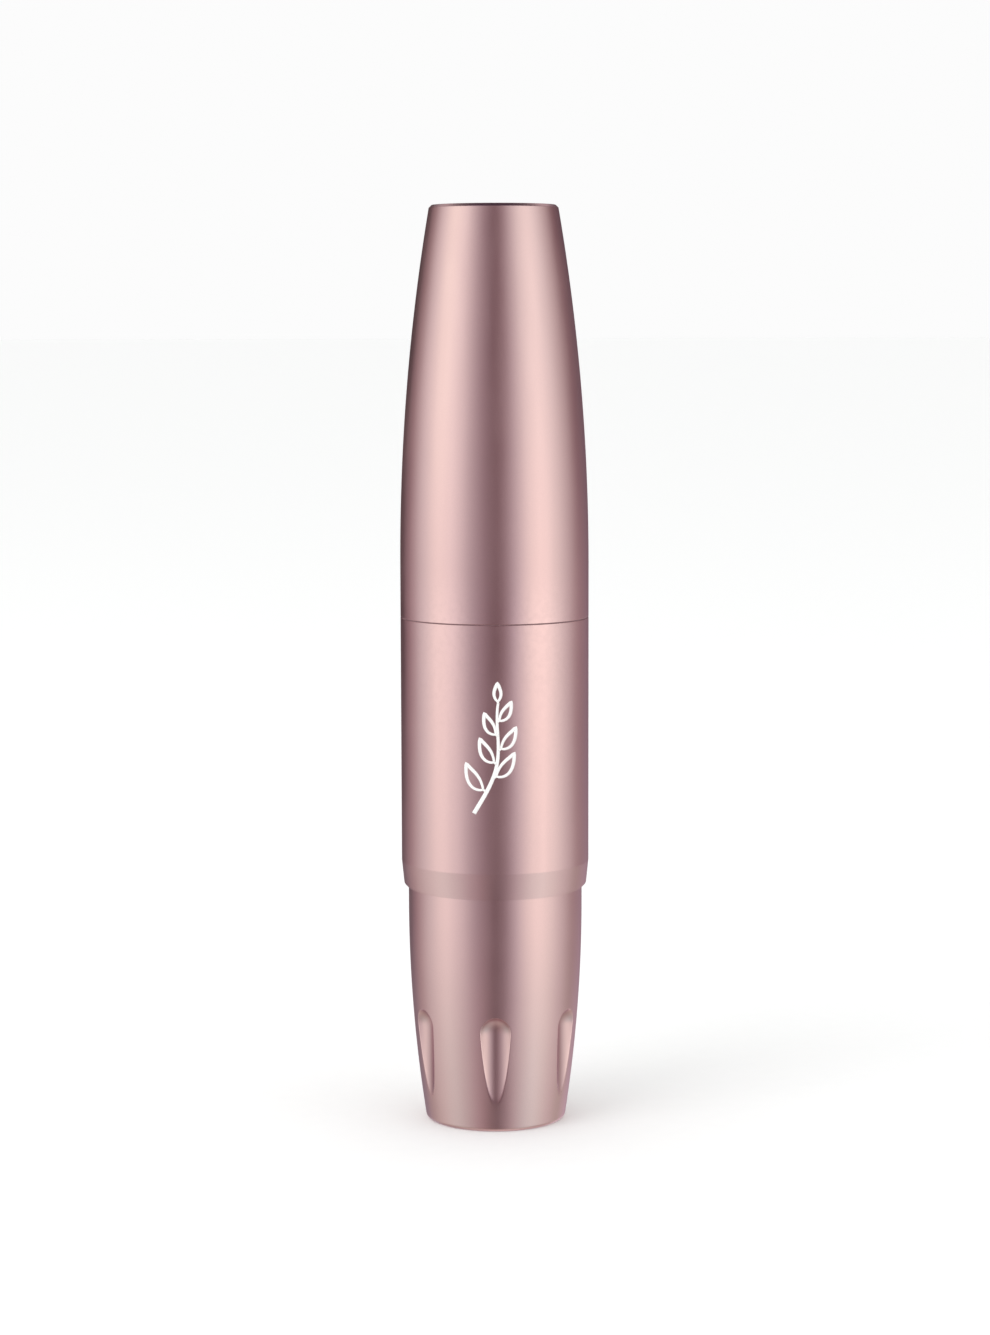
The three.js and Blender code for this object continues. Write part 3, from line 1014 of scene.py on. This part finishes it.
STEM_LOW, SLOTTED_HIGH = heights("slotted_tube")
STEM_R = 5.17
STEM_BORE_R = 4.2
STEM_CEILING = 24.0
DISC_R = 8.3  # the disc by which the tube rests on the base
DISC_LOW = BASE_TOP + 0.1
DISC_HIGH = heights("glide_washer")[0] - 0.1
TUBE_NECK_R = 6.55  # the spiral tube's foot turns round this neck
TUBE_NECK_HIGH = 28.6
SLOTTED_R = 6.92
SLOTTED_BORE_R = 6.46
SLOTTED_FLOOR = 29.6
SLOT = stadium(SLOT_HALF_WIDTH, LUG_Z - LUG_R - 0.4, LUG_Z + LIFT + LUG_R + 0.6)
turned(
    "slotted_swivel_tube",
    [
        (0.0, STEM_CEILING),
        (STEM_BORE_R, STEM_CEILING, 0.15),
        (STEM_BORE_R, STEM_LOW, 0.1),
        (STEM_R, STEM_LOW, 0.15),
        (STEM_R, DISC_LOW, 0.1),
        (DISC_R, DISC_LOW, 0.1),
        (DISC_R, DISC_HIGH, 0.1),
        (TUBE_NECK_R, DISC_HIGH, 0.15),
        (TUBE_NECK_R, TUBE_NECK_HIGH, 0.1),
        (SLOTTED_R, TUBE_NECK_HIGH, 0.1),
        (SLOTTED_R, SLOTTED_HIGH, 0.15),
        (SLOTTED_BORE_R, SLOTTED_HIGH, 0.1),
        (SLOTTED_BORE_R, SLOTTED_FLOOR, 0.1),
        (0.0, SLOTTED_FLOOR),
    ],
    "base",
    ["slotted_tube"],
    acetal,
    segments=128,
    cuts=[prism(SLOT, 10.0)],
)

SPIRAL_LOW, SPIRAL_HIGH = heights("spiral_tube")
SPIRAL_R = 7.72
SPIRAL_BORE_R = 7.0
SPIRAL_FOOT_BORE_R = 6.65
SPIRAL_FOOT_HIGH = 28.4
PITCH = 16.0  # the stick's rise in one turn
GROOVE_R = 7.42
GROOVE_FROM, GROOVE_TO = -15, 555  # degrees, a little beyond the travel of one and a half turns
GROOVE_HALF = SLOT_HALF_WIDTH / math.cos(math.atan2(PITCH, math.tau * SPIRAL_BORE_R))
GROOVES = [
    spiral_band(6.8, GROOVE_R, GROOVE_HALF, LUG_Z, PITCH, GROOVE_FROM, GROOVE_TO, start)
    for start in (0.0, math.pi)
]
turned(
    "spiral_grooved_tube",
    [
        (SPIRAL_FOOT_BORE_R, SPIRAL_LOW, 0.1),
        (SPIRAL_R, SPIRAL_LOW, 0.15),
        (SPIRAL_R, SPIRAL_HIGH, 0.1),
        (SPIRAL_BORE_R, SPIRAL_HIGH, 0.1),
        (SPIRAL_BORE_R, SPIRAL_FOOT_HIGH, 0.15),
        (SPIRAL_FOOT_BORE_R, SPIRAL_FOOT_HIGH, 0.1),
    ],
    "sleeve",
    ["spiral_tube"],
    acetal,
    segments=128,
    cuts=GROOVES,
)


def lug_bar():
    """The carrier's two lugs, as one round bar along X."""
    outline = [(0, -LUG_REACH), (LUG_R, -LUG_REACH, 0.2), (LUG_R, LUG_REACH, 0.2), (0, LUG_REACH)]
    verts, faces = turned_solid(rounded(outline), 40)
    return [(z, y, LUG_Z - x) for x, y, z in verts], faces


CARRIER_LOW = 29.8
CARRIER_HIGH = 32.95
turned(
    "lug_carrier",
    [
        (0.0, CARRIER_LOW),
        (CARRIER_R, CARRIER_LOW, 0.2),
        (CARRIER_R, CARRIER_HIGH, 0.12),
        (0.0, CARRIER_HIGH),
    ],
    "stick",
    ["carrier"],
    acetal,
    segments=128,
    additions=[lug_bar()],
)

turned("torque_o_ring", round_outline("torque_ring", 7.4), "base", ["torque_ring"], silicone)
for name, node, inner_r, edge, body, material in (
    ("glide_ring", "glide_washer", 7.95, 0.1, "base", acetal),
    ("sleeve_lining", "sleeve_core", 8.12, 0.12, "sleeve", mauve),
    ("base_ballast", "base_weight", 1.6, 0.4, "base", steel),
    ("base_ballast_pad", "base_weight_pad", 0.0, 0.15, "base", foam),
    ("cap_ballast_pad", "cap_weight_pad", 0.0, 0.15, "cap", foam),
    ("cap_ballast", "cap_weight", 0.0, 0.15, "cap", steel),
):
    turned(name, tube_outline(node, inner_r, edge), body, [node], material)

SOCKET_LOW, SOCKET_HIGH = heights("base_insert")
SOCKET_R = 7.12
SOCKET_STEP_Z = 12.55
SOCKET_FOOT_R = 6.3
SOCKET_BORE_R = 5.25
SOCKET_FLOOR = 13.6
turned(
    "base_socket",
    [
        (0.0, SOCKET_LOW),
        (SOCKET_FOOT_R, SOCKET_LOW, 0.3),
        (SOCKET_FOOT_R, SOCKET_STEP_Z, 0.1),
        (SOCKET_R, SOCKET_STEP_Z, 0.1),
        (SOCKET_R, SOCKET_HIGH, 0.15),
        (SOCKET_BORE_R, SOCKET_HIGH, 0.15),
        (SOCKET_BORE_R, SOCKET_FLOOR, 0.15),
        (0.0, SOCKET_FLOOR),
    ],
    "base",
    ["base_insert"],
    mauve,
)

# ---------------- printed sprig on the sleeve

INK_FILM = 0.014
INK_CROWN = 0.004  # how much thicker the ink is along the middle of a stroke
INK_STAGGER = 0.0008  # and from stroke to stroke, so that the faces of crossing ones lie apart
INK_ROOT = 0.01  # how far the film reaches into the sleeve
SPRIG_Z = 38.3  # height of the sprig's middle
SPRIG_LEAN = math.radians(-3.0)
STEM_STEPS = 60
LEAF_STEPS = 22
LEAVES = 6  # besides the one at the tip


def ribbon(path, widths):
    """Left and right edges of a stroke of varying width along a path."""
    left, right = [], []
    for i, p in enumerate(path):
        a, b = path[max(0, i - 1)], path[min(len(path) - 1, i + 1)]
        along = Vector((b[0] - a[0], b[1] - a[1])).normalized()
        across = Vector((-along.y, along.x)) * widths[i] / 2
        left.append((p[0] + across.x, p[1] + across.y))
        right.append((p[0] - across.x, p[1] - across.y))
    return left, right


def leaf_stroke(start, size, turn, side):
    """A slender leaf in line: its stalk, then its outline up one side and down the other."""
    stalk, belly = 0.12 * size, 0.17 * size
    path, widths = [start], [0.24]
    for i in range(2 * LEAF_STEPS + 1):
        u = i / LEAF_STEPS if i <= LEAF_STEPS else 2 - i / LEAF_STEPS
        over = side if i <= LEAF_STEPS else -side
        heading = turn * (1.15 - 0.4 * u)
        across = over * belly * math.sin(math.pi * u**0.8)
        reach = stalk + (size - stalk) * u
        path.append(
            (
                start[0] + reach * math.sin(heading) + across * math.cos(heading),
                start[1] + reach * math.cos(heading) - across * math.sin(heading),
            )
        )
        widths.append(0.22 + 0.12 * math.sin(math.pi * i / (2 * LEAF_STEPS)))
    return path, widths


def sprig_strokes():
    """A plain leafy twig in line: one curved stem, and slender leaves to each side in turn."""

    def stem(t):
        return (-1.5 + 2.3 * t + 0.75 * math.sin(math.pi * (1.5 * t - 0.1)), -6.3 + 10.9 * t)

    path = [stem(i / STEM_STEPS) for i in range(STEM_STEPS + 1)]
    strokes = [(path, [0.42 - 0.18 * i / STEM_STEPS for i in range(STEM_STEPS + 1)])]
    for k in range(LEAVES):
        side = 1 if k % 2 else -1
        size, turn = 3.4 - 0.2 * k, side * math.radians(52 - 2 * k)
        strokes.append(leaf_stroke(stem(0.2 + 0.125 * k), size, turn, side))
    strokes.append(leaf_stroke(stem(0.99), 2.0, math.radians(-6), 1))
    return strokes


def sprig():
    """The twig as a film of white ink that follows the sleeve's round surface."""
    verts, faces = [], []

    def on_sleeve(s, h, radius):
        across = s * math.cos(SPRIG_LEAN) - h * math.sin(SPRIG_LEAN)
        z = SPRIG_Z + s * math.sin(SPRIG_LEAN) + h * math.cos(SPRIG_LEAN)
        angle = -math.pi / 2 + across / BODY_R
        return (radius * math.cos(angle), radius * math.sin(angle), z)

    for lift, (path, widths) in enumerate(sprig_strokes()):
        outer, root = BODY_R + INK_FILM + INK_STAGGER * lift, BODY_R - INK_ROOT
        start = len(verts)
        left, right = ribbon(path, widths)
        for (ls, lh), (rs, rh) in zip(left, right):
            verts += [
                on_sleeve(ls, lh, outer),
                on_sleeve((ls + rs) / 2, (lh + rh) / 2, outer + INK_CROWN),
                on_sleeve(rs, rh, outer),
                on_sleeve(rs, rh, root),
                on_sleeve(ls, lh, root),
            ]
        for i in range(len(path) - 1):
            a = start + 5 * i
            for k in range(5):
                faces.append((a + k, a + (k + 1) % 5, a + 5 + (k + 1) % 5, a + 5 + k))
        faces.append(tuple(start + k for k in (4, 3, 2, 1, 0)))
        end = start + 5 * (len(path) - 1)
        faces.append(tuple(end + k for k in range(5)))
    piece = mesh_piece("printed_sprig", verts, faces, "sleeve", [], white_ink)


sprig()

# ---------------- floor, light and camera


def grey(value, tint=(1.0, 1.0, 1.0)):
    return (*[value * t for t in tint], 1.0)


def climb(degrees):
    """Place on a ramp over height of a direction this many degrees above the level."""
    return 0.5 + degrees / 180


def ring(levels):
    """Stops for a ramp round the horizon."""
    return [(0.5 + turn / 360, (*color, 1.0)) for turn, *color in levels]


WARM = (1.0, 0.89, 0.86)

# The wall round the horizon at three heights, as (degrees right of the front, red, green, blue).
# The directions are given one by one. The colours are not: a fitting program wrote all three
# tables of them, by comparing the colours of renders with those of the reference photograph.
STUDIO_HIGH = [
    (-180, 0.04, 0.02, 0.03),
    (-150, 0.02, 0.02, 0.02),
    (-124, 0.33, 0.23, 0.24),
    (-95, 1.00, 1.02, 1.06),
    (-72, 1.56, 1.63, 1.54),
    (-48, 1.34, 1.37, 1.39),
    (-28, 0.68, 0.64, 0.70),
    (-14, 0.38, 0.29, 0.35),
    (0, 0.11, 0.05, 0.06),
    (13, 0.30, 0.19, 0.23),
    (27, 0.77, 0.74, 0.81),
    (44, 1.28, 1.35, 1.34),
    (60, 1.50, 1.56, 1.53),
    (78, 1.10, 1.16, 1.18),
    (98, 0.69, 0.65, 0.67),
    (122, 0.22, 0.13, 0.15),
    (150, 0.14, 0.11, 0.12),
    (180, 0.04, 0.02, 0.03),
]
STUDIO_LEVEL = [
    (-180, 0.08, 0.04, 0.05),
    (-150, 0.03, 0.02, 0.02),
    (-124, 0.43, 0.29, 0.34),
    (-95, 0.95, 1.00, 1.06),
    (-72, 1.64, 1.55, 1.54),
    (-48, 1.27, 1.23, 1.31),
    (-28, 0.52, 0.51, 0.60),
    (-14, 0.39, 0.30, 0.38),
    (0, 0.10, 0.05, 0.06),
    (13, 0.29, 0.18, 0.22),
    (27, 0.88, 0.89, 1.07),
    (44, 1.70, 1.65, 1.57),
    (60, 2.03, 1.86, 1.79),
    (78, 1.40, 1.42, 1.40),
    (98, 0.89, 0.88, 0.93),
    (122, 0.43, 0.30, 0.34),
    (150, 0.35, 0.30, 0.33),
    (180, 0.08, 0.04, 0.05),
]
STUDIO_LOW = [
    (-180, 0.94, 0.96, 0.98),
    (-150, 0.66, 0.70, 0.74),
    (-124, 0.65, 0.63, 0.57),
    (-95, 0.81, 0.78, 0.77),
    (-72, 0.82, 0.99, 0.98),
    (-48, 0.69, 0.71, 0.72),
    (-28, 0.61, 0.47, 0.53),
    (-14, 0.42, 0.31, 0.33),
    (0, 0.08, 0.05, 0.06),
    (13, 0.27, 0.19, 0.24),
    (27, 0.69, 0.61, 0.66),
    (44, 0.72, 0.82, 0.86),
    (60, 0.94, 1.22, 1.25),
    (78, 0.84, 0.94, 0.92),
    (98, 0.77, 0.70, 0.75),
    (122, 0.59, 0.64, 0.52),
    (150, 1.29, 1.30, 1.30),
    (180, 0.94, 0.96, 0.98),
]

# Over height: how the low ring gives way to the level one, and that to the high one
STUDIO_RISE = [
    (climb(-30), grey(0.0)),
    (climb(-4), grey(1.0)),
]
STUDIO_RISE_HIGH = [
    (climb(-8), grey(0.0)),
    (climb(5), grey(1.0)),
]
STUDIO_HEIGHT = [  # strength of the whole wall
    (0.0, grey(0.5, WARM)),
    (climb(-50), grey(0.58, WARM)),
    (climb(-30), grey(0.93)),
    (climb(-13), grey(0.88)),
    (climb(8), grey(1.0)),
    (climb(22), grey(0.94)),
    (climb(37), grey(0.82)),
    (climb(54), grey(0.16, (1.0, 0.75, 1.1))),
    (climb(68), grey(0.07, (1.0, 0.5, 1.2))),
]

# The light high up behind: over the distance backwards, and over height
STUDIO_BACK = [
    (0.6, grey(0.0)),
    (0.85, grey(1.0)),
]
STUDIO_BACK_HEIGHT = [
    (climb(22), grey(0.0)),
    (climb(42), grey(0.9)),
    (climb(60), grey(0.5)),
    (climb(78), grey(0.0)),
]

STUDIO_BELOW = [  # the floor's glow
    (0.0, grey(0.42, WARM)),
    (climb(-34), grey(0.0)),
]

STUDIO_FILL = grey(1.67, (1.0, 1.02, 1.0))
MIRRORED_SHARE = 0.5  # of what matt surfaces get, the rest being the fill
STUDIO_BACKDROP = grey(0.973)


def studio():
    """White surroundings, and for reflections tall soft lights left and right with dark between.

    The metal mirrors a wall of three rings blended over height, a light high up behind, and a
    faint glow from the floor. Matt surfaces get a share of that and an even fill.
    """
    world = bpy.data.worlds.new("studio")
    world.use_nodes = True
    world.cycles.sampling_method = "NONE"
    bpy.context.scene.world = world
    sky = Tree(world.node_tree)
    direction = sky.add("ShaderNodeTexCoord").outputs["Generated"]
    x, y, z = sky.add("ShaderNodeSeparateXYZ", {"Vector": direction}).outputs

    # 0.5 towards the front, falling to 0 round the left side and rising to 1 round the right
    from_front = sky.math("ARCTAN2", x, sky.math("MULTIPLY", y, -1.0))
    round_turn = sky.math("ADD", sky.math("DIVIDE", from_front, math.tau), 0.5)
    upwards = sky.math("ADD", sky.math("DIVIDE", sky.math("ARCSINE", z), math.pi), 0.5)
    backwards = sky.math("ADD", sky.math("MULTIPLY", y, 0.5), 0.5)

    rings = [sky.ramp(ring(r), round_turn) for r in (STUDIO_LOW, STUDIO_LEVEL, STUDIO_HIGH)]
    walls = sky.mix(sky.ramp(STUDIO_RISE, upwards), rings[0], rings[1])
    walls = sky.mix(sky.ramp(STUDIO_RISE_HIGH, upwards), walls, rings[2])
    walls = sky.mix(1.0, walls, sky.ramp(STUDIO_HEIGHT, upwards), "MULTIPLY")
    behind = sky.ramp(STUDIO_BACK, backwards)
    behind = sky.mix(1.0, behind, sky.ramp(STUDIO_BACK_HEIGHT, upwards), "MULTIPLY")
    mirrored = sky.mix(1.0, walls, behind, "ADD")
    mirrored = sky.mix(1.0, mirrored, sky.ramp(STUDIO_BELOW, upwards), "ADD")

    path = sky.add("ShaderNodeLightPath").outputs
    matt = sky.mix(MIRRORED_SHARE, STUDIO_FILL, mirrored)
    plain = sky.mix(path["Is Camera Ray"], matt, STUDIO_BACKDROP)
    background = sky.tree.nodes["Background"].inputs
    sky.put(background["Color"], sky.mix(path["Is Glossy Ray"], plain, mirrored))
    sky.put(background["Strength"], 1.0)


def floor():
    n = Surface("floor_pale")
    speck = n.remap(n.noise(2.0, 4.0), (0.3, 0.7), (0, 1))
    n.set(Base_Color=n.mix(speck, grey(0.95), grey(0.94)), Roughness=0.9, Specular_IOR_Level=0.1)
    mesh = bpy.data.meshes.new("floor")
    bm = bmesh.new()
    bmesh.ops.create_circle(bm, cap_ends=True, radius=12.0, segments=96)
    bm.to_mesh(mesh)
    bm.free()
    mesh.materials.append(n.material)
    plane = linked("floor", mesh)
    plane.visible_glossy = False


def soft_light(name, place, size, power, target):
    """A soft rectangular light that only the matt surfaces and the floor see."""
    data = bpy.data.lights.new(name, "AREA")
    data.shape = "RECTANGLE"
    data.size, data.size_y = size
    data.energy = power
    lamp = linked(name, data)
    lamp.location = place
    lamp.rotation_euler = (Vector(target) - Vector(place)).to_track_quat("-Z", "Y").to_euler()
    lamp.visible_camera = False
    lamp.visible_glossy = False


EYE = (0.00003, -0.3106, 0.07975)  # metres
LOOKS_DOWN = 6.33  # degrees
ROLL = -0.14


def camera():
    data = bpy.data.cameras.new("camera")
    data.lens = 85.0
    data.sensor_fit = "VERTICAL"
    data.sensor_height = 36.0
    data.clip_start = 0.01
    eye = linked("camera", data)
    pitch = Matrix.Rotation(math.radians(90 - LOOKS_DOWN), 4, "X")
    roll = Matrix.Rotation(math.radians(ROLL), 4, "Z")
    eye.matrix_world = Matrix.Translation(EYE) @ pitch @ roll
    bpy.context.scene.camera = eye


bpy.context.scene.view_settings.view_transform = "Standard"
floor()
studio()
soft_light("key", place=(-0.35, -0.35, 0.5), size=(0.35, 0.35), power=0.9, target=(0, 0, 0.04))
camera()
